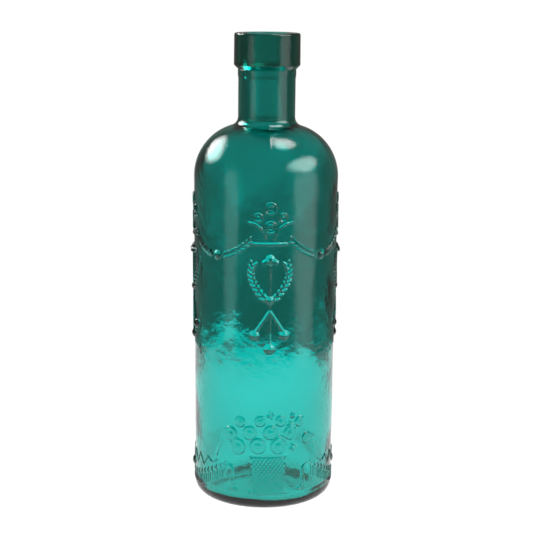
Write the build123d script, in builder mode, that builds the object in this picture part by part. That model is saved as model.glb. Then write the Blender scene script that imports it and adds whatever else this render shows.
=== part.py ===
"""Half-litre medicine bottle: one piece of blown glass with a moulded relief.

Frame: +Z up, origin at the centre of the resting ring, front of the bottle towards -Y. Millimetres.
The glass is divided where its maker names it: base, body, shoulder, neck and lip band, which meet
face to face on flat rings. The relief stands on the body's outer wall and touches it face to face.
"""

import os
from math import atan2, cos, degrees, hypot, radians, sin, sqrt

from build123d import *

# --- Vessel -------------------------------------------------------------------------------------
height = 230.0
foot_wall_radius = 34.5  # outside of the wall, at the top of the heel
top_wall_radius = 35.4  # outside of the wall, at the foot of the shoulder
wall = 3.0
heel_radius = 6.0
base_top = 13.0  # height of the joint between base and body
floor_height = 4.0  # inside floor, at its rim
floor_crown = 3.0  # rise of the inside floor towards its middle
inner_heel_radius = 4.5
ring_outer_radius = foot_wall_radius - heel_radius
ring_width = 3.0
push_up = 3.0  # depth of the hollow under the base

shoulder_foot = 161.0
shoulder_radius = 25.5
neck_radius = 13.9
neck_fillet = 4.5  # outside, where the shoulder turns up into the neck
throat_fillet = 5.0  # inside, at the same place
bore_radius = 10.0

bead_radius = 14.15  # shallow bead round the neck, under the lip band
bead_foot = 209.4
band_foot = 212.7
band_radius = 16.1
band_chamfer = 2.0
band_edge_fillet = 0.7
rim_fillet = 1.1

# --- Relief -------------------------------------------------------------------------------------
line_relief = 0.8  # how far ribs and leaves stand out of the wall
fine_relief = 0.45  # the same for the basket's weave, the drapes and the tendrils
reach = 1.8  # how far a drawing is pushed both ways through the wall before it is trimmed
rib = 0.8  # width of a plain rib
quarter = 27.5  # distance round the wall from a motif's middle to the stud beside it
side_middle = 2 * quarter  # and from the front to the middle of a side

bar_height = 133.0
bar_half = 8.0
stud_height = 126.2
stud_radius = 2.3
stud_relief = 1.4
vertex_height = 100.6
wreath_top = 123.5
wreath_foot = 105.0
wreath_half = 8.8
leaf_spread = 34  # angle between a leaf and the stem it grows on
stem_around = 2.2  # foot of a flower stem
stem_foot = 135.2
stem_reach = 8.1

basket_foot = 10.0
basket_top = 27.5
basket_half_top = 8.6
basket_half_foot = 7.8
lattice_pitch = 1.95
lattice_rib = 0.62
lattice_turn = 38
fruit_relief = 1.15
fruit_crown = 0.8  # share of a fruit that rises in a dome inside its edge
fruit_pitch = 10.0  # between neighbours in a row of the heap
heap_droop = 1.8  # how much lower a row lies at heap_half than in the middle
heap_half = 20.0

post_around = 18.0
post_foot = 10.6
post_top = 20.4
hook_reach = 2.2  # of the hook at the top of a post
tendril_around = 23.6
tendril_top = 34.2
tendril_reach = 3.8
tendril_fall = 8.6
drape_start = 21.8  # distance round the wall from the front, past the post
drape_top = 21.8
drape_bottom = 9.8
drape_sag = 1.6  # how much steeper the hem falls near its ends than at its middle
tooth_count = 40
leaf_pairs = 22
fringe_length = 4.8
fringe_foot = 6.8
fringe_rib = 0.5
crest_half = 26.6  # from the middle of a side to the crest's outermost peak
crest_pitch = 3.6  # from a peak to the valley beside it
crest_top = 23.4
crest_valley = 17.6  # lowest that a valley reaches
crest_clearance = 4.8  # least height of a valley over the drape's hem


def wall_radius(z):
    """Outside radius of the slightly conical body at height z."""
    share = (z - heel_radius) / (shoulder_foot - heel_radius)
    return foot_wall_radius + share * (top_wall_radius - foot_wall_radius)


def wall_plane(around, z):
    """Plane that touches the wall at a distance round it from the front, X round the wall and Y up."""
    angle = around / (top_wall_radius - line_relief)
    outward = (sin(angle), -cos(angle), 0)
    radius = wall_radius(z)
    return Plane(
        origin=(radius * outward[0], radius * outward[1], z),
        x_dir=(cos(angle), sin(angle), 0),
        z_dir=outward,
    )


# --- Outline of the glass, as radius and height -------------------------------------------------
shoulder_centre = (top_wall_radius - shoulder_radius, shoulder_foot)
inner_shoulder_radius = shoulder_radius - wall


def corner_centre(line_radius, fillet_radius, arc_radius):
    """Centre of a fillet outside the shoulder arc that ends on an upright line."""
    across = line_radius + fillet_radius - shoulder_centre[0]
    up = sqrt((arc_radius + fillet_radius) ** 2 - across**2)
    return (line_radius + fillet_radius, shoulder_centre[1] + up)


def direction(start, end):
    return degrees(atan2(end[1] - start[1], end[0] - start[0]))


neck_centre = corner_centre(neck_radius, neck_fillet, shoulder_radius)
throat_centre = corner_centre(bore_radius, throat_fillet, inner_shoulder_radius)
shoulder_end = direction(shoulder_centre, neck_centre)
inner_shoulder_end = direction(shoulder_centre, throat_centre)
neck_foot = neck_centre[1]


def crown_arc(edge_radius, edge_height, rise):
    """Arc from a round edge up to the axis, part of a ball centred on the axis."""
    ball_radius = (edge_radius**2 + rise**2) / (2 * rise)
    drop = ball_radius - sqrt(ball_radius**2 - (edge_radius / 2) ** 2)
    top = edge_height + rise
    ThreePointArc((edge_radius, edge_height), (edge_radius / 2, top - drop), (0, top))


def outer_base():
    """From the middle of the hollow under the base to the base's outer top edge."""
    ring_inner_radius = ring_outer_radius - ring_width
    heel_centre = (ring_outer_radius, heel_radius)
    crown_arc(ring_inner_radius, 0, push_up)
    Line((ring_inner_radius, 0), (ring_outer_radius, 0))
    CenterArc(heel_centre, heel_radius, -90, 90)
    Line((foot_wall_radius, heel_radius), (wall_radius(base_top), base_top))


def outer_shoulder():
    """Shoulder arc and the fillet that turns it up into the neck."""
    CenterArc(shoulder_centre, shoulder_radius, 0, shoulder_end)
    CenterArc(neck_centre, neck_fillet, shoulder_end - 180, -shoulder_end)


def inner_shoulder():
    """Inside of the shoulder and the rounded throat that leads into the bore."""
    CenterArc(shoulder_centre, inner_shoulder_radius, 0, inner_shoulder_end)
    CenterArc(throat_centre, throat_fillet, inner_shoulder_end - 180, -inner_shoulder_end)


def band_outline():
    """Outside of the lip band, from its joint with the neck over the rim to the bore."""
    FilletPolyline(
        (neck_radius, band_foot),
        (band_radius - band_chamfer, band_foot),
        (band_radius, band_foot + band_chamfer),
        (band_radius - 0.1, height),
        (bore_radius, height),
        (bore_radius, height - 5),
        radius=[0.3, band_edge_fillet, rim_fillet, rim_fillet],
    )


# --- Five zones of glass ------------------------------------------------------------------------
with BuildPart() as base:
    with BuildSketch(Plane.XZ):
        with BuildLine():
            outer_base()
            inner_radius = wall_radius(base_top) - wall
            floor_edge = inner_radius - inner_heel_radius
            Line((wall_radius(base_top), base_top), (inner_radius, base_top))
            Line((inner_radius, base_top), (inner_radius, floor_height + inner_heel_radius))
            CenterArc((floor_edge, floor_height + inner_heel_radius), inner_heel_radius, 0, -90)
            crown_arc(floor_edge, floor_height, floor_crown)
            Line((0, floor_height + floor_crown), (0, push_up))
        make_face()
    revolve(axis=Axis.Z)

with BuildPart() as body:
    with BuildSketch(Plane.XZ):
        with BuildLine():
            Polyline(
                (wall_radius(base_top), base_top),
                (top_wall_radius, shoulder_foot),
                (top_wall_radius - wall, shoulder_foot),
                (wall_radius(base_top) - wall, base_top),
                close=True,
            )
        make_face()
    revolve(axis=Axis.Z)

with BuildPart() as shoulder:
    with BuildSketch(Plane.XZ):
        with BuildLine():
            outer_shoulder()
            inner_shoulder()
            Line((top_wall_radius - wall, shoulder_foot), (top_wall_radius, shoulder_foot))
            Polyline((neck_radius, neck_foot), (bore_radius, neck_foot), (bore_radius, throat_centre[1]))
        make_face()
    revolve(axis=Axis.Z)

with BuildPart() as neck:
    with BuildSketch(Plane.XZ):
        with BuildLine():
            FilletPolyline(
                (bore_radius, neck_foot),
                (neck_radius, neck_foot),
                (neck_radius, bead_foot - 1),
                (bead_radius, bead_foot + 0.5),
                (bead_radius, band_foot),
                (bore_radius, band_foot),
                radius=[0, 1.0, 0.6, 0],
            )
            Line((bore_radius, band_foot), (bore_radius, neck_foot))
        make_face()
    revolve(axis=Axis.Z)

with BuildPart() as lip_band:
    with BuildSketch(Plane.XZ):
        with BuildLine():
            band_outline()
            Polyline((bore_radius, height - 5), (bore_radius, band_foot), (neck_radius, band_foot))
        make_face()
    revolve(axis=Axis.Z)


# --- Tools for the relief -----------------------------------------------------------------------
def cone(extra):
    """Closed outline, from the axis, of the body's outer cone made larger by a distance."""
    low = 2.0
    Polyline(
        (0, low),
        (wall_radius(low) + extra, low),
        (wall_radius(shoulder_foot) + extra, shoulder_foot),
        (0, shoulder_foot),
        close=True,
    )


with BuildPart() as wall_core:
    with BuildSketch(Plane.XZ):
        with BuildLine():
            cone(0)
        make_face()
    revolve(axis=Axis.Z)

with BuildPart() as relief_limit:
    with BuildSketch(Plane.XZ):
        with BuildLine():
            cone(line_relief)
        make_face()
    revolve(axis=Axis.Z)

with BuildPart() as fine_limit:
    with BuildSketch(Plane.XZ):
        with BuildLine():
            cone(fine_relief)
        make_face()
    revolve(axis=Axis.Z)


def cut_wall():
    add(wall_core.part, mode=Mode.SUBTRACT)


def trim(limit=relief_limit):
    """Keep what stands out of the wall by no more than the relief."""
    add(limit.part, mode=Mode.INTERSECT)
    cut_wall()


def stroke(start, end, width=rib):
    """Round-ended bar on the wall between two points, each a distance round and a height."""
    run = (end[0] - start[0], end[1] - start[1])
    middle = ((start[0] + end[0]) / 2, (start[1] + end[1]) / 2)
    with BuildSketch(wall_plane(*middle)) as bar:
        SlotCenterToCenter(hypot(*run), width, rotation=degrees(atan2(run[1], run[0])))
    extrude(bar.sketch, amount=reach, both=True)


def strokes(points, width=rib):
    for start, end in zip(points, points[1:]):
        stroke(start, end, width)


def ring(around, z, radius, width=rib):
    with BuildSketch(wall_plane(around, z)) as band:
        Circle(radius)
        Circle(radius - width, mode=Mode.SUBTRACT)
    extrude(band.sketch, amount=reach, both=True)


def disc(around, z, radius):
    with BuildSketch(wall_plane(around, z)) as spot:
        Circle(radius)
    extrude(spot.sketch, amount=reach, both=True)


def leaf(around, z, length, width, turn):
    with BuildSketch(wall_plane(around, z)) as blade:
        Ellipse(length / 2, width / 2, rotation=turn)
    extrude(blade.sketch, amount=reach, both=True)


def dome(around, z, radius, rise):
    """Part of a ball that stands out of the wall; the wall itself is cut away afterwards."""
    ball_radius = (radius**2 + rise**2) / (2 * rise)
    plane = wall_plane(around, z)
    with Locations(plane.offset(rise - ball_radius).location):
        Sphere(ball_radius)


def quarter_turn(around, z, reach, count=4):
    """Points of a quarter circle that starts upright at a place on the wall and bends outwards."""
    turns = [radians(90 * step / count) for step in range(count + 1)]
    return [(around + reach * (1 - cos(turn)), z + reach * sin(turn)) for turn in turns]


def on_hand(hand, points):
    """The same points on the right hand (1) or the left hand (-1) of the motif's middle."""
    return [(hand * around, z) for around, z in points]


def wreath_stem(share):
    """Distance from the motif's middle and height of the wreath's stem, from its top to its foot."""
    swell = wreath_half * sin(radians(62 + 114 * share)) ** 0.9
    return (swell, wreath_top + share * (wreath_foot - wreath_top))


# --- Upper relief, the same on the front and on both sides --------------------------------------
with BuildPart() as flowers:
    for z, outer, inner in ((150, 2.9, 1.5), (141, 3.0, 1.6)):
        ring(0, z, outer, 0.55)
        ring(0, z, inner, 0.5)
    for around in (-5.8, 5.8):
        ring(around, 145.7, 2.2, 0.55)
        disc(around, 145.7, 0.6)
    trim()

with BuildPart() as stems:
    stroke((-bar_half, bar_height), (bar_half, bar_height), 1.0)
    for hand in (-1, 1):
        strokes(on_hand(hand, quarter_turn(stem_around, stem_foot, stem_reach)))
    trim()

with BuildPart() as beads:
    dome(0, 105.9, 2.1, stud_relief)
    dome(0, 82.0, 2.5, stud_relief)
    for hand in (-1, 1):
        dome(hand * 7.2, 88.6, 2.3, stud_relief)
    cut_wall()

with BuildPart() as bow:
    dome(0, 125.6, 2.4, stud_relief)
    for hand in (-1, 1):
        leaf(hand * 2.2, 124.6, 3.6, 1.8, hand * -20)
    cut_wall()

with BuildPart() as ribbon:
    stroke((0, 107.3), (0, 122.8), 1.1)
    trim()
    add(beads.part, mode=Mode.SUBTRACT)

with BuildPart() as wreath:
    leaf_count = 9
    for step in range(leaf_count):
        swell, z = wreath_stem((step + 0.5) / leaf_count)
        before, after = wreath_stem(step / leaf_count), wreath_stem((step + 1) / leaf_count)
        upward = direction(after, before)
        for side in (-1, 1):
            turn = upward + side * leaf_spread
            shift = 1.4
            middle = (swell + shift * cos(radians(turn)), z + shift * sin(radians(turn)))
            for hand in (-1, 1):
                leaf(hand * middle[0], middle[1], 3.1, 0.9, hand * turn)
    trim()
    add(beads.part, mode=Mode.SUBTRACT)

with BuildPart() as tassels:
    stroke((0, 104.5), (0, vertex_height))
    stroke((0, vertex_height), (0, 84.0))
    for hand in (-1, 1):
        stroke((0, vertex_height), (hand * 6.6, 90.6))
    trim()
    add(beads.part, mode=Mode.SUBTRACT)

with BuildPart() as stud:
    dome(quarter, stud_height, stud_radius, stud_relief)
    cut_wall()


def garland_half(hand):
    """Leaves along a sagging cord, from the stud to the motif on one hand of it."""
    leaf_count = 8
    half_span = quarter - bar_half
    for step in range(leaf_count):
        share = (step + 0.5) / leaf_count
        run = stud_radius + 1.2 + share * (half_span - stud_radius - 2.2)
        rise = (bar_height + 3.4 - stud_height) * (run / half_span) ** 2
        slope = degrees(atan2(2 * rise, run))
        for side in (-1, 1):
            z = stud_height + rise + side * 0.9
            leaf(quarter + hand * run, z, 2.8, 0.9, hand * (slope + side * leaf_spread))


with BuildPart() as right_half:
    garland_half(1)
    trim()

with BuildPart() as left_half:
    garland_half(-1)
    trim()

with BuildPart() as garland:
    add(left_half.part)
    add(right_half.part)

# --- Basket of fruit, on the front only ---------------------------------------------------------
with BuildPart() as basket:
    half_height = (basket_top - basket_foot) / 2
    with BuildSketch(wall_plane(0, basket_foot + half_height)) as weave:
        with Locations(*[(step * lattice_pitch, 0) for step in range(-12, 13)]):
            Rectangle(lattice_rib, 4 * half_height, rotation=lattice_turn)
            Rectangle(lattice_rib, 4 * half_height, rotation=-lattice_turn)
        with BuildSketch(mode=Mode.INTERSECT):
            with BuildLine():
                Polyline(
                    (-basket_half_foot, -half_height),
                    (basket_half_foot, -half_height),
                    (basket_half_top, half_height),
                    (-basket_half_top, half_height),
                    close=True,
                )
            make_face()
    extrude(weave.sketch, amount=reach, both=True)
    for hand in (-1, 1):
        stroke((hand * basket_half_foot, basket_foot), (hand * basket_half_top, basket_top), 0.6)
    plinth_half = basket_half_foot + 1.6
    stroke((-plinth_half, basket_foot - 0.6), (plinth_half, basket_foot - 0.6), 1.1)
    trim(fine_limit)


def fruit_row(first, z, count, radius):
    """Fruits side by side from the first one's distance round, drooping to both sides of the heap."""
    places = [first + step * fruit_pitch for step in range(count)]
    return [(around, z - heap_droop * (around / heap_half) ** 2, radius) for around in places]


with BuildPart() as fruit:
    fruits = fruit_row(-15, 33.5, 3, 3.9) + fruit_row(-19, 40.2, 4, 3.4) + fruit_row(-14, 46.0, 4, 2.6)
    fruits.append((20.2, 35.8, 2.8))  # at the heap's right end
    fruits.append((12.0, 48.3, 1.3))  # a berry on top
    for around, z, radius in fruits:
        disc(around, z, radius)
    trim()
    for around, z, radius in fruits:
        dome(around, z, fruit_crown * radius, fruit_relief)
    cut_wall()

with BuildPart() as sprigs:
    for around, z in ((1, 49), (11, 44), (5.5, 37.5), (12.5, 32)):
        for turn in (20, 110):
            leaf(around, z, 4.2, 1.1, turn)
    trim()
    add(fruit.part, mode=Mode.SUBTRACT)

with BuildPart() as tendrils:
    shares = (0, 1 / 3, 2 / 3, 1)
    curve = [(tendril_around + tendril_reach * t**0.9, tendril_top - tendril_fall * t) for t in shares]
    for hand in (-1, 1):
        strokes(on_hand(hand, curve), 0.5)
    trim(fine_limit)

with BuildPart() as posts:
    for hand in (-1, 1):
        with BuildSketch(wall_plane(hand * post_around, post_foot)) as taper:
            with BuildLine():
                post_height = post_top - post_foot
                Polyline((-1.5, 0), (1.5, 0), (0.35, post_height), (-0.35, post_height), close=True)
            make_face()
        extrude(taper.sketch, amount=reach, both=True)
        stroke((hand * (post_around - 2.2), post_foot), (hand * (post_around + 2.2), post_foot), 0.9)
        strokes(on_hand(hand, quarter_turn(post_around, post_top, hook_reach, 2)), 0.9)
    trim()

# --- Festoon on each side -----------------------------------------------------------------------
def hem_height(around):
    """Height of the drape's hem at a distance round the wall."""
    share = abs(around - side_middle) / (side_middle - drape_start)
    return drape_bottom + (drape_top - drape_bottom) * share**drape_sag


with BuildPart() as drape:
    tooth_pitch = 2 * (side_middle - drape_start) / tooth_count
    for step in range(1, tooth_count):
        around = drape_start + tooth_pitch * step
        z = hem_height(around)
        stroke((around, z - 0.5), (around, max(z - fringe_length, fringe_foot)), fringe_rib)
    for step in range(leaf_pairs):
        around = side_middle + (side_middle - drape_start) * (2 * (step + 0.5) / leaf_pairs - 1)
        slope = direction((around - 1, hem_height(around - 1)), (around + 1, hem_height(around + 1)))
        hand = 1 if around > side_middle else -1
        for lift, spread in ((0.8, -leaf_spread), (2.0, leaf_spread)):
            leaf(around, hem_height(around) + lift, 2.4, 0.8, slope + hand * spread)
    trim(fine_limit)

with BuildPart() as rosette:
    dome(side_middle, 15.6, 2.8, stud_relief)
    cut_wall()

with BuildPart() as crest:
    zigzag = []
    for step in range(8):
        out = crest_half - step * crest_pitch
        valley = max(crest_valley, hem_height(side_middle + out) + crest_clearance)
        zigzag.append((out, valley if step % 2 else crest_top))
    for hand in (-1, 1):
        strokes([(side_middle + hand * out, z) for out, z in zigzag], 0.6)
    trim(fine_limit)
    add(rosette.part, mode=Mode.SUBTRACT)


# --- Parts --------------------------------------------------------------------------------------
def save(part, name):
    part.label = name
    export_step(part, f"parts/{name}.step")


def save_turned(pieces, place, turn):
    """Write pieces that were drawn on the front, turned about the bottle's axis to their place."""
    for name, piece in pieces.items():
        with BuildPart() as turned:
            add(piece.part, rotation=(0, 0, turn))
        save(turned.part, f"{place}_{name}")


os.makedirs("parts", exist_ok=True)
zones = {"base": base, "body": body, "shoulder": shoulder, "neck": neck, "lip_band": lip_band}
for name, zone in zones.items():
    save(zone.part, name)

upper = {
    "flowers": flowers,
    "stems": stems,
    "bow": bow,
    "ribbon": ribbon,
    "wreath": wreath,
    "tassels": tassels,
    "beads": beads,
}
for place, turn in (("front", 0), ("right", 90), ("left", -90)):
    save_turned(upper, place, turn)

# the back is plain, so a garland there hangs only between its stud and the side
save_turned({"garland": garland, "stud": stud}, "front_right", 0)
save_turned({"garland": garland, "stud": stud}, "front_left", -90)
save_turned({"garland": left_half, "stud": stud}, "back_right", 90)
save_turned({"garland": right_half, "stud": stud}, "back_left", 180)

lower = {"basket": basket, "fruit": fruit, "sprigs": sprigs, "tendrils": tendrils, "posts": posts}
save_turned(lower, "front", 0)
for place, turn in (("right", 0), ("left", 180)):
    save_turned({"drape": drape, "rosette": rosette, "crest": crest}, place, turn)
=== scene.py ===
"""Looks of the half-litre medicine bottle: one continuous piece of blue-green moulded glass.

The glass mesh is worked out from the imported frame. Its outline repeats the frame's zones (base, body,
shoulder, neck, lip band), and its raised ornament is read off the frame's relief nodes and softened, as
fire polishing softens moulded glass.
Angles run round the bottle from the front (-Y) towards the right (+X). Lengths are in metres.
"""

import math

import bpy
import numpy as np
from mathutils import Matrix, Vector
from mathutils.bvhtree import BVHTree


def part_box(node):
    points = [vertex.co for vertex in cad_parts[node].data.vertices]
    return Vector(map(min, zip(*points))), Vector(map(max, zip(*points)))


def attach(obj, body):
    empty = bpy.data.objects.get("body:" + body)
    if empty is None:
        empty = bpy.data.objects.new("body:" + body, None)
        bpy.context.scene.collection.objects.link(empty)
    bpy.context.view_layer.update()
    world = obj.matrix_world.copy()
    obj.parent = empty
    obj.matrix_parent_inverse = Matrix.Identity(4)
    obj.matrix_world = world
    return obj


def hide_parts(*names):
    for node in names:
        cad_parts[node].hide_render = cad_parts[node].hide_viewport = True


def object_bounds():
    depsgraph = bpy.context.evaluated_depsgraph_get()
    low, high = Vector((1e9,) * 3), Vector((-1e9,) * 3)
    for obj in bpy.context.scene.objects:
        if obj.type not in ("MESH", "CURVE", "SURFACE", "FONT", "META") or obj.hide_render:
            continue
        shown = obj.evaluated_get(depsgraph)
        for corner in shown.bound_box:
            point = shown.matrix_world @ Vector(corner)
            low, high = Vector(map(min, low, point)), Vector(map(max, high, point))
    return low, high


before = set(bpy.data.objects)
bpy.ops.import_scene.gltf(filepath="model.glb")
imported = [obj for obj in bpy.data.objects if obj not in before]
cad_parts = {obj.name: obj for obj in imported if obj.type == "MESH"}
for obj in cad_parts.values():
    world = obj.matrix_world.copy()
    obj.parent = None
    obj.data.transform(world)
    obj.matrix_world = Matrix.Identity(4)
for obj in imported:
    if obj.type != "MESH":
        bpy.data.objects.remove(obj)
cad_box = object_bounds()

MM = 0.001
ZONES = ("base", "body", "shoulder", "neck", "lip_band")

# --- Sizes from the frame -----------------------------------------------------------------------
height = cad_box[1].z
base_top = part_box("body")[0].z
shoulder_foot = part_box("shoulder")[0].z
neck_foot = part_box("neck")[0].z
band_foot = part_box("lip_band")[0].z
band_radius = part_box("lip_band")[1].x
bead_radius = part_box("neck")[1].x
top_wall_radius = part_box("shoulder")[1].x
base_wall_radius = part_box("base")[1].x

# --- Sizes of the outline that the boxes don't give ---------------------------------------------
heel_radius = 6.0 * MM
taper = (top_wall_radius - base_wall_radius) / (shoulder_foot - base_top)
foot_wall_radius = base_wall_radius - taper * (base_top - heel_radius)
wall = 3.0 * MM
ring_width = 3.0 * MM
push_up = 3.0 * MM
floor_height = 4.0 * MM
floor_crown = 3.0 * MM
inner_heel_radius = 4.5 * MM
shoulder_radius = 25.5 * MM
neck_radius = 13.9 * MM
neck_fillet = 4.5 * MM
throat_fillet = 5.0 * MM
bore_radius = 10.0 * MM
band_chamfer = 2.0 * MM
rim_fillet = 1.1 * MM

# --- Grid ---------------------------------------------------------------------------------------
columns = 768
inner_columns = 192
fine_step = 0.3 * MM
coarse_step = 1.4 * MM
relief_bands = ((6.4 * MM, 52.0 * MM), (78.5 * MM, 154.0 * MM))
oversample = 2
soften = 0.13 * MM
seam_relief = 0.09 * MM
seam_half_width = 0.35 * MM
seam_foot = 152.0 * MM
# unevenness of the glass: its size, turns round the bottle, wavelengths upwards and seed
outer_waves = (0.09 * MM, (2, 9), (25 * MM, 90 * MM), 5)
outer_sink = 0.12 * MM  # keeps the waves inside the outline
inner_long_waves = (0.42 * MM, (1, 5), (35 * MM, 120 * MM), 11)
inner_short_waves = (0.13 * MM, (5, 13), (14 * MM, 60 * MM), 23)


def wall_radius(z):
    """Outside radius of the slightly conical body."""
    return foot_wall_radius + taper * (z - heel_radius)


def arc(centre, radius, start, end, step):
    """Points of an arc in (radius, height), from one angle to another in degrees."""
    count = max(3, round(abs(math.radians(end - start)) * radius / step))
    angles = np.radians(np.linspace(start, end, count + 1))
    return np.column_stack((centre[0] + radius * np.cos(angles), centre[1] + radius * np.sin(angles)))


def line(start, end, step):
    """Points of a straight run in (radius, height)."""
    count = max(1, round(math.dist(start, end) / step))
    return np.linspace(start, end, count + 1)


def joined(pieces):
    """One outline from pieces that follow each other, with no point twice."""
    points = [pieces[0][0]]
    for piece in pieces:
        points += [p for p in piece if math.dist(p, points[-1]) > 1e-6]
        points = [points[0]] + points[1:]
    return np.array(points)


def crown(edge_radius, edge_height, rise, step):
    """Part of a ball centred on the axis, from its edge up to the axis."""
    ball = (edge_radius**2 + rise**2) / (2 * rise)
    centre = (0.0, edge_height + rise - ball)
    edge_angle = math.degrees(math.acos(edge_radius / ball))
    return arc(centre, ball, edge_angle, 90, step)


def corner_centre(line_radius, fillet, arc_radius, arc_centre):
    across = line_radius + fillet - arc_centre[0]
    return line_radius + fillet, arc_centre[1] + math.sqrt((arc_radius + fillet) ** 2 - across**2)


def shoulder_line(arc_radius, line_radius, fillet, step):
    """Shoulder arc, from its foot, and the fillet that turns it up into an upright wall."""
    centre = (top_wall_radius - shoulder_radius, shoulder_foot)
    turn_centre = corner_centre(line_radius, fillet, arc_radius, centre)
    end = math.degrees(math.atan2(turn_centre[1] - centre[1], turn_centre[0] - centre[0]))
    return [arc(centre, arc_radius, 0, end, step), arc(turn_centre, fillet, end - 180, -180, step * 0.6)]


def rounded(corners, radii, step):
    """Run through the corners with each inner corner rounded to its radius."""
    pieces = []
    last = np.array(corners[0], float)
    for before, corner, after, radius in zip(corners, corners[1:], corners[2:], radii):
        corner = np.array(corner, float)
        into = (corner - before) / math.dist(corner, before)
        out = (np.array(after) - corner) / math.dist(after, corner)
        turn = math.acos(max(-1, min(1, float(into @ out))))
        cut = radius * math.tan(turn / 2)
        start = corner - into * cut
        end = corner + out * cut
        pieces.append(line(last, start, step))
        share = np.linspace(0, 1, 6)[:, None]
        pieces.append((1 - share) ** 2 * start + 2 * share * (1 - share) * corner + share**2 * end)
        last = end
    pieces.append(line(last, corners[-1], step))
    return pieces


def outer_outline():
    """From the middle of the hollow under the base to the top of the bore."""
    ring_outer = foot_wall_radius - heel_radius
    ring_inner = ring_outer - ring_width
    pieces = [
        crown(ring_inner, 0.0, push_up, 1.6 * MM)[::-1],
        line((ring_inner, 0.0), (ring_outer, 0.0), 0.8 * MM),
        arc((ring_outer, heel_radius), heel_radius, -90, 0, 0.8 * MM),
    ]
    low = heel_radius
    for band_low, band_high in relief_bands:
        pieces.append(line((wall_radius(low), low), (wall_radius(band_low), band_low), coarse_step))
        pieces.append(line((wall_radius(band_low), band_low), (wall_radius(band_high), band_high), fine_step))
        low = band_high
    pieces.append(line((wall_radius(low), low), (top_wall_radius, shoulder_foot), coarse_step))
    pieces += shoulder_line(shoulder_radius, neck_radius, neck_fillet, 1.2 * MM)
    bead_foot = band_foot - 3.3 * MM
    pieces += rounded(
        [
            (neck_radius, neck_foot),
            (neck_radius, bead_foot - 1.0 * MM),
            (bead_radius, bead_foot + 0.5 * MM),
            (bead_radius, band_foot - 0.3 * MM),
            (neck_radius, band_foot),
            (band_radius - band_chamfer, band_foot),
            (band_radius, band_foot + band_chamfer),
            (band_radius - 0.1 * MM, height),
            (bore_radius, height),
            (bore_radius, height - 6 * MM),
        ],
        [1.0 * MM, 0.5 * MM, 0.15 * MM, 0.1 * MM, 0.3 * MM, 0.9 * MM, rim_fillet * 1.1, rim_fillet * 1.6],
        0.9 * MM,
    )
    return joined(pieces)


def inner_outline():
    """From the bore down the inside to the middle of the floor."""
    inner_radius = wall_radius(base_top) - wall
    floor_edge = inner_radius - inner_heel_radius
    throat = shoulder_line(shoulder_radius - wall, bore_radius, throat_fillet, 1.6 * MM)
    throat = [piece[::-1] for piece in reversed(throat)]
    throat_top = throat[0][0]
    pieces = [line((bore_radius, height - 6 * MM), throat_top, 2 * MM)]
    pieces += throat
    pieces.append(line((top_wall_radius - wall, shoulder_foot), (inner_radius, base_top), 2.5 * MM))
    pieces.append(line((inner_radius, base_top), (inner_radius, floor_height + inner_heel_radius), 1 * MM))
    pieces.append(arc((floor_edge, floor_height + inner_heel_radius), inner_heel_radius, 0, -90, 0.8 * MM))
    pieces.append(crown(floor_edge, floor_height, floor_crown, 2 * MM))
    return joined(pieces)


# --- Relief, read off the frame -----------------------------------------------------------------
def relief_tree():
    """All raised ornament of the frame as one search tree."""
    points = []
    faces = []
    for name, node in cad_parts.items():
        if name in ZONES:
            continue
        first = len(points)
        points += [v.co.copy() for v in node.data.vertices]
        faces += [[first + i for i in p.vertices] for p in node.data.polygons]
    return BVHTree.FromPolygons(points, faces)


def softened(field, step_around, step_up):
    """The height field blurred by the fire polish, round and closed in the first direction."""
    for axis, step in ((1, step_around), (0, step_up)):
        reach = int(3 * soften / step) + 1
        offsets = np.arange(-reach, reach + 1)
        weights = np.exp(-0.5 * (offsets * step / soften) ** 2)
        weights /= weights.sum()
        if axis == 1:
            field = sum(w * np.roll(field, o, axis=1) for o, w in zip(offsets, weights))
        else:
            padded = np.pad(field, ((reach, reach), (0, 0)))
            field = sum(w * padded[i : i + len(field)] for i, w in enumerate(weights))
    return field


def relief_field(heights):
    """How far the ornament stands out of the wall at each height and column."""
    tree = relief_tree()
    fine_columns = columns * oversample
    fine_heights = np.interp(
        np.arange((len(heights) - 1) * oversample + 1) / oversample, np.arange(len(heights)), heights
    )
    angles = np.arange(fine_columns) * 2 * math.pi / fine_columns
    outward = [Vector((math.sin(a), -math.cos(a), 0)) for a in angles]
    far = top_wall_radius + 5 * MM
    field = np.zeros((len(fine_heights), fine_columns))
    for row, z in enumerate(fine_heights):
        surface = wall_radius(z)
        for column, direction in enumerate(outward):
            origin = direction * far
            origin.z = z
            hit = tree.ray_cast(origin, -direction, far - surface + 1 * MM)
            if hit[0] is not None:
                field[row, column] = max(0.0, far - hit[3] - surface)
    step_around = 2 * math.pi * top_wall_radius / fine_columns
    step_up = float(np.mean(np.diff(fine_heights)))
    field = softened(field, step_around, step_up)
    return field[::oversample, ::oversample]


# --- Unevenness of old glass --------------------------------------------------------------------
def ripple(angles, heights, size, turns, wavelengths, seed):
    """Smooth seeded unevenness, closed round the bottle: rows are heights, columns are angles."""
    draw = np.random.default_rng(seed)
    total = np.zeros((len(heights), len(angles)))
    count = 14
    for _ in range(count):
        around = draw.integers(turns[0], turns[1] + 1)
        up = 2 * math.pi / draw.uniform(*wavelengths)
        phase = draw.uniform(0, 2 * math.pi, 2)
        bend = 0.6 * np.sin(heights[:, None] * up * 0.37 + phase[1])
        total += np.cos(around * angles[None, :] + bend + phase[0]) * np.cos(heights[:, None] * up + phase[1])
    return size * total / math.sqrt(count)


def outward_normals(outline):
    """Normal of each point of an outline in (radius, height), to the right of its direction."""
    tangent = np.gradient(outline, axis=0)
    tangent /= np.linalg.norm(tangent, axis=1)[:, None]
    return np.column_stack((tangent[:, 1], -tangent[:, 0]))


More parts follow.
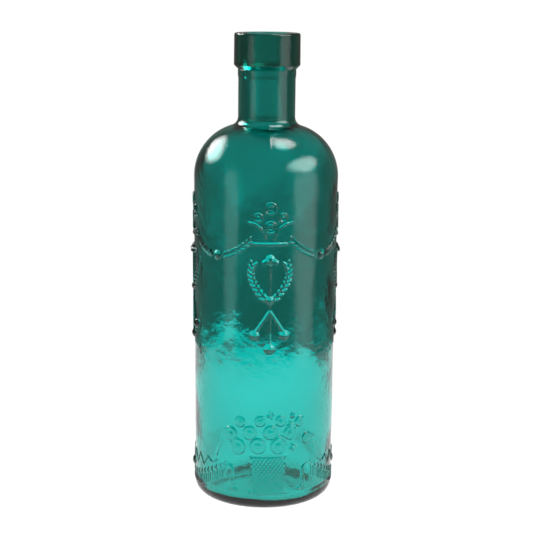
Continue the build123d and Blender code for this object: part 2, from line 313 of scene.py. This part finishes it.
def placed(outline, angles, offset):
    """Points of an outline turned about the axis and moved along its normals."""
    normals = outward_normals(outline)
    radius = outline[:, :1] + normals[:, :1] * offset
    z = outline[:, 1:] + normals[:, 1:] * offset
    x = radius * np.sin(angles)[None, :]
    y = -radius * np.cos(angles)[None, :]
    return np.stack((x, y, np.broadcast_to(z, x.shape)), axis=2)


def outer_surface():
    outline = outer_outline()
    angles = np.arange(columns) * 2 * math.pi / columns
    z = outline[:, 1]
    first_rim = int(np.argmax(z >= height - 1e-7))
    offset = np.zeros((len(outline), columns))
    for low, high in relief_bands:
        on_wall = outline[:, 0] > wall_radius(low) - 1 * MM
        rows = np.where((z >= low - 1e-7) & (z <= high + 1e-7) & on_wall)[0]
        offset[rows] = relief_field(z[rows])
    # a shallow unevenness fades out at the resting ring and the rim
    fade = np.clip((z - 8 * MM) / (20 * MM), 0, 1) * np.clip((neck_foot - z) / (12 * MM), 0, 1)
    fade[first_rim:] = 0
    offset += fade[:, None] * (ripple(angles, z, *outer_waves) - outer_sink)
    seam = np.clip((z - seam_foot) / (8 * MM), 0, 1)
    seam[first_rim:] = 0
    from_seam = np.abs(np.sin(angles)) * np.maximum(outline[:, :1], 1 * MM)
    offset += seam_relief * seam[:, None] * np.exp(-((from_seam / seam_half_width) ** 2))
    return outline, placed(outline, angles, offset)


def inner_surface():
    outline = inner_outline()
    angles = np.arange(inner_columns) * 2 * math.pi / inner_columns
    z = outline[:, 1]
    fade = np.clip((height - 12 * MM - z) / (20 * MM), 0, 1)
    fade *= np.clip(outline[:, 0] / (24 * MM), 0, 1)
    waves = ripple(angles, z, *inner_long_waves)
    waves += ripple(angles, z, *inner_short_waves)
    return outline, placed(outline, angles, fade[:, None] * waves)


def grid_faces(first, rows, count):
    """Quads of a closed grid whose rows follow each other."""
    row = np.arange(rows - 1)[:, None]
    column = np.arange(count)[None, :]
    following = (column + 1) % count
    a = first + row * count + column
    b = first + row * count + following
    return np.stack((a, b, b + count, a + count), axis=2).reshape(-1, 4)


def glass_mesh():
    """Outer and inner surface as one closed mesh, stitched in the bore."""
    outline, outer = outer_surface()
    inner_line, inner = inner_surface()
    outer = outer[1:]
    inner = inner[1:-1]
    points = [outer.reshape(-1, 3), inner.reshape(-1, 3)]
    inner_first = outer.shape[0] * columns
    bottom = inner_first + inner.shape[0] * inner_columns
    points.append([[0, 0, outline[0][1]], [0, 0, inner_line[-1][1]]])
    faces = grid_faces(0, outer.shape[0], columns).tolist()
    faces += grid_faces(inner_first, inner.shape[0], inner_columns).tolist()
    faces += [[bottom, (i + 1) % columns, i] for i in range(columns)]
    last_row = inner_first + (inner.shape[0] - 1) * inner_columns
    faces += [[bottom + 1, last_row + i, last_row + (i + 1) % inner_columns] for i in range(inner_columns)]
    ratio = columns // inner_columns
    rim_row = (outer.shape[0] - 1) * columns
    for i in range(inner_columns):
        a = inner_first + i
        b = inner_first + (i + 1) % inner_columns
        edge = [rim_row + (i * ratio + k) % columns for k in range(ratio + 1)]
        faces += [[edge[k], edge[k + 1], a] for k in range(ratio // 2)]
        faces.append([edge[ratio // 2], b, a])
        faces += [[edge[k], edge[k + 1], b] for k in range(ratio // 2, ratio)]
    mesh = bpy.data.meshes.new("bottle_glass")
    mesh.from_pydata(np.concatenate(points).tolist(), [], faces)
    mesh.shade_smooth()
    mesh.validate()
    mesh.update()
    return mesh


# --- Shader nodes -------------------------------------------------------------------------------
def new_material(name):
    """Empty material, its nodes, its links and its output."""
    material = bpy.data.materials.new(name)
    material.use_nodes = True
    nodes = material.node_tree.nodes
    nodes.clear()
    return material, nodes, material.node_tree.links, nodes.new("ShaderNodeOutputMaterial")


def noise(nodes, links, vector, scale, detail):
    texture = nodes.new("ShaderNodeTexNoise")
    texture.inputs["Scale"].default_value = scale
    texture.inputs["Detail"].default_value = detail
    links.new(vector, texture.inputs["Vector"])
    return texture.outputs["Fac"]


def map_range(nodes, links, value, source, target=(0.0, 1.0), smooth=False):
    node = nodes.new("ShaderNodeMapRange")
    if smooth:
        node.interpolation_type = "SMOOTHSTEP"
    node.inputs["From Min"].default_value = source[0]
    node.inputs["From Max"].default_value = source[1]
    node.inputs["To Min"].default_value = target[0]
    node.inputs["To Max"].default_value = target[1]
    links.new(value, node.inputs["Value"])
    return node.outputs["Result"]


def bump(nodes, links, height_value, strength, distance, below=None):
    """Small unevenness, on top of another one if that is given."""
    node = nodes.new("ShaderNodeBump")
    node.inputs["Strength"].default_value = strength
    node.inputs["Distance"].default_value = distance
    links.new(height_value, node.inputs["Height"])
    if below is not None:
        links.new(below, node.inputs["Normal"])
    return node.outputs["Normal"]


# --- Material -----------------------------------------------------------------------------------
glass_ior = 1.5
glass_depth_colour = (0.0, 0.927, 0.914, 1.0)
glass_depth_density = 1500.0
roughness_range = (0.015, 0.07)
haze_scale = 45.0
peel_scale = 260.0
peel_strength = 0.36
peel_depth = 0.4 * MM
grain_scale = 1100.0
grain_strength = 0.2
grain_depth = 0.1 * MM
line_stretch = (60.0, 60.0, 2200.0)  # lines run round the lip band
line_strength = 0.3
line_depth = 0.2 * MM


def glass_material():
    """Blue-green glass: the colour is in its depth, the surface is polished but not quite even."""
    material, nodes, links, output = new_material("blue_green_glass")
    shader = nodes.new("ShaderNodeBsdfPrincipled")
    shader.inputs["Base Color"].default_value = (1.0, 1.0, 1.0, 1.0)
    shader.inputs["Transmission Weight"].default_value = 1.0
    shader.inputs["IOR"].default_value = glass_ior
    links.new(shader.outputs["BSDF"], output.inputs["Surface"])
    depth = nodes.new("ShaderNodeVolumeAbsorption")
    depth.inputs["Color"].default_value = glass_depth_colour
    depth.inputs["Density"].default_value = glass_depth_density
    links.new(depth.outputs["Volume"], output.inputs["Volume"])

    place = nodes.new("ShaderNodeTexCoord").outputs["Object"]
    haze = noise(nodes, links, place, haze_scale, 4.0)
    roughness = map_range(nodes, links, haze, (0.35, 0.75), roughness_range)
    links.new(roughness, shader.inputs["Roughness"])

    peel = noise(nodes, links, place, peel_scale, 3.0)
    surface = bump(nodes, links, peel, peel_strength, peel_depth)
    grain = noise(nodes, links, place, grain_scale, 2.0)
    surface = bump(nodes, links, grain, grain_strength, grain_depth, surface)

    stretch = nodes.new("ShaderNodeMapping")
    stretch.inputs["Scale"].default_value = line_stretch
    links.new(place, stretch.inputs["Vector"])
    lines = noise(nodes, links, stretch.outputs["Vector"], 1.0, 2.0)
    split = nodes.new("ShaderNodeSeparateXYZ")
    links.new(place, split.inputs["Vector"])
    on_band = map_range(nodes, links, split.outputs["Z"], (neck_foot, band_foot))
    band_lines = nodes.new("ShaderNodeMath")
    band_lines.operation = "MULTIPLY"
    links.new(on_band, band_lines.inputs[0])
    links.new(lines, band_lines.inputs[1])
    surface = bump(nodes, links, band_lines.outputs["Value"], line_strength, line_depth, surface)
    links.new(surface, shader.inputs["Normal"])
    return material


# --- Bottle -------------------------------------------------------------------------------------
bottle = bpy.data.objects.new("bottle_glass", glass_mesh())
bpy.context.scene.collection.objects.link(bottle)
bottle.data.materials.append(glass_material())
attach(bottle, "root")
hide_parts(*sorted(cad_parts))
bottle.visible_shadow = False


# --- Stage --------------------------------------------------------------------------------------
# A plain round pale floor, plain soft boxes and an even, dim room. None of it is part of the bottle.
floor_drop = 0.0001  # the floor lies clear of the resting ring by this much
floor_radius = 0.30
floor_strength = 1.05
room_colour = (1.0, 1.0, 0.92)
room_strength = 0.18
board_colour = (1.0, 0.99, 0.97)
box_fade = (0.2, 0.5)  # from the middle, as shares of a soft box's size
side_aim = 0.1


def glow_material(name, colour, strength):
    """Light of one colour, the same all over."""
    material, nodes, links, output = new_material(name)
    glow = nodes.new("ShaderNodeEmission")
    glow.inputs["Color"].default_value = (*colour, 1.0)
    glow.inputs["Strength"].default_value = strength
    links.new(glow.outputs["Emission"], output.inputs["Surface"])
    return material


def soft_box_material(name, strength):
    """Light that fades smoothly from the middle of a soft box to its rim, and hides nothing behind it."""
    material, nodes, links, output = new_material(name)
    glow = nodes.new("ShaderNodeEmission")
    glow.inputs["Color"].default_value = (*board_colour, 1.0)
    distance = nodes.new("ShaderNodeVectorMath")
    distance.operation = "LENGTH"
    links.new(nodes.new("ShaderNodeTexCoord").outputs["Object"], distance.inputs[0])
    fade = map_range(nodes, links, distance.outputs["Value"], box_fade, (strength, 0.0), smooth=True)
    links.new(fade, glow.inputs["Strength"])
    clear = nodes.new("ShaderNodeBsdfTransparent")
    both = nodes.new("ShaderNodeAddShader")
    links.new(glow.outputs["Emission"], both.inputs[0])
    links.new(clear.outputs["BSDF"], both.inputs[1])
    links.new(both.outputs["Shader"], output.inputs["Surface"])
    return material


def stage_object(name, points, faces, material):
    mesh = bpy.data.meshes.new(name)
    mesh.from_pydata(points, [], faces)
    mesh.materials.append(material)
    item = bpy.data.objects.new(name, mesh)
    bpy.context.scene.collection.objects.link(item)
    return item


def plain_floor(count=128):
    """Round pale floor under the bottle, the same for every kind of ray."""
    angles = [2 * math.pi * i / count for i in range(count)]
    points = [(floor_radius * math.cos(a), floor_radius * math.sin(a), -floor_drop) for a in angles]
    glow = glow_material("pale_floor", (1.0, 1.0, 1.0), floor_strength)
    return stage_object("floor", points, [list(range(count))], glow)


def soft_box(name, azimuth, distance, z, size, strength, aim=shoulder_foot):
    """Soft box at an angle from the front, as seen from above towards the right, that faces the bottle."""
    corners = [(-0.5, -0.5, 0), (0.5, -0.5, 0), (0.5, 0.5, 0), (-0.5, 0.5, 0)]
    box = stage_object(name, corners, [[0, 1, 2, 3]], soft_box_material(name, strength))
    a = math.radians(azimuth)
    place = Vector((distance * math.sin(a), -distance * math.cos(a), z))
    facing = (Vector((0, 0, aim)) - place).to_track_quat("Z", "Y")
    box.matrix_world = Matrix.LocRotScale(place, facing, Vector((size[0], size[1], 1)))
    box.visible_camera = False
    return box


def even_room():
    """Pale behind everything for the camera, one dim colour for what the glass shows and reflects."""
    world = bpy.data.worlds.new("room")
    bpy.context.scene.world = world
    world.use_nodes = True
    nodes = world.node_tree.nodes
    links = world.node_tree.links
    nodes.clear()
    output = nodes.new("ShaderNodeOutputWorld")
    mix = nodes.new("ShaderNodeMixShader")
    path = nodes.new("ShaderNodeLightPath")
    pale = nodes.new("ShaderNodeBackground")
    pale.inputs["Color"].default_value = (1, 1, 1, 1)
    room = nodes.new("ShaderNodeBackground")
    room.inputs["Color"].default_value = (*room_colour, 1)
    room.inputs["Strength"].default_value = room_strength
    links.new(path.outputs["Is Camera Ray"], mix.inputs["Fac"])
    links.new(room.outputs["Background"], mix.inputs[1])
    links.new(pale.outputs["Background"], mix.inputs[2])
    links.new(mix.outputs["Shader"], output.inputs["Surface"])


plain_floor()
soft_box("soft_box_left", -125, 0.75, 0.60, (0.90, 0.60), 9.0)
soft_box("soft_box_right", 65, 0.75, 0.55, (1.10, 0.50), 6.0)
soft_box("soft_box_top", 90, 0.25, 0.90, (0.50, 0.50), 9.0)
soft_box("soft_box_side_right", 62, 0.75, 0.10, (0.80, 0.85), 1.4, side_aim)
soft_box("soft_box_side_left", -60, 0.75, 0.10, (0.45, 0.85), 0.8, side_aim)
soft_box("soft_box_back", 180, 1.2, 0.10, (0.90, 0.50), 0.16, side_aim)
even_room()


# --- Camera -------------------------------------------------------------------------------------
focal_length = 94.3  # mm, on a sensor 36 mm wide
camera_azimuth = math.radians(-4.0)
camera_distance = 0.680
camera_height = 0.2541
camera_pitch = math.radians(11.54)
camera_roll = math.radians(0.6)
camera_yaw = math.radians(-0.06)


def camera():
    data = bpy.data.cameras.new("camera")
    data.sensor_width = 36.0
    data.lens = focal_length
    data.clip_start = 0.01
    item = bpy.data.objects.new("camera", data)
    bpy.context.scene.collection.objects.link(item)
    across = camera_distance * math.sin(camera_azimuth)
    place = Vector((across, -camera_distance * math.cos(camera_azimuth), camera_height))
    heading = camera_azimuth + camera_yaw
    level = math.cos(camera_pitch)
    forward = Vector((-math.sin(heading) * level, math.cos(heading) * level, -math.sin(camera_pitch)))
    right = forward.cross(Vector((0, 0, 1))).normalized()
    up = right.cross(forward)
    rotation = Matrix((right, up, -forward)).transposed().to_4x4()
    item.matrix_world = Matrix.Translation(place) @ rotation @ Matrix.Rotation(camera_roll, 4, "Z")
    bpy.context.scene.camera = item


camera()
bpy.context.scene.view_settings.view_transform = "Standard"
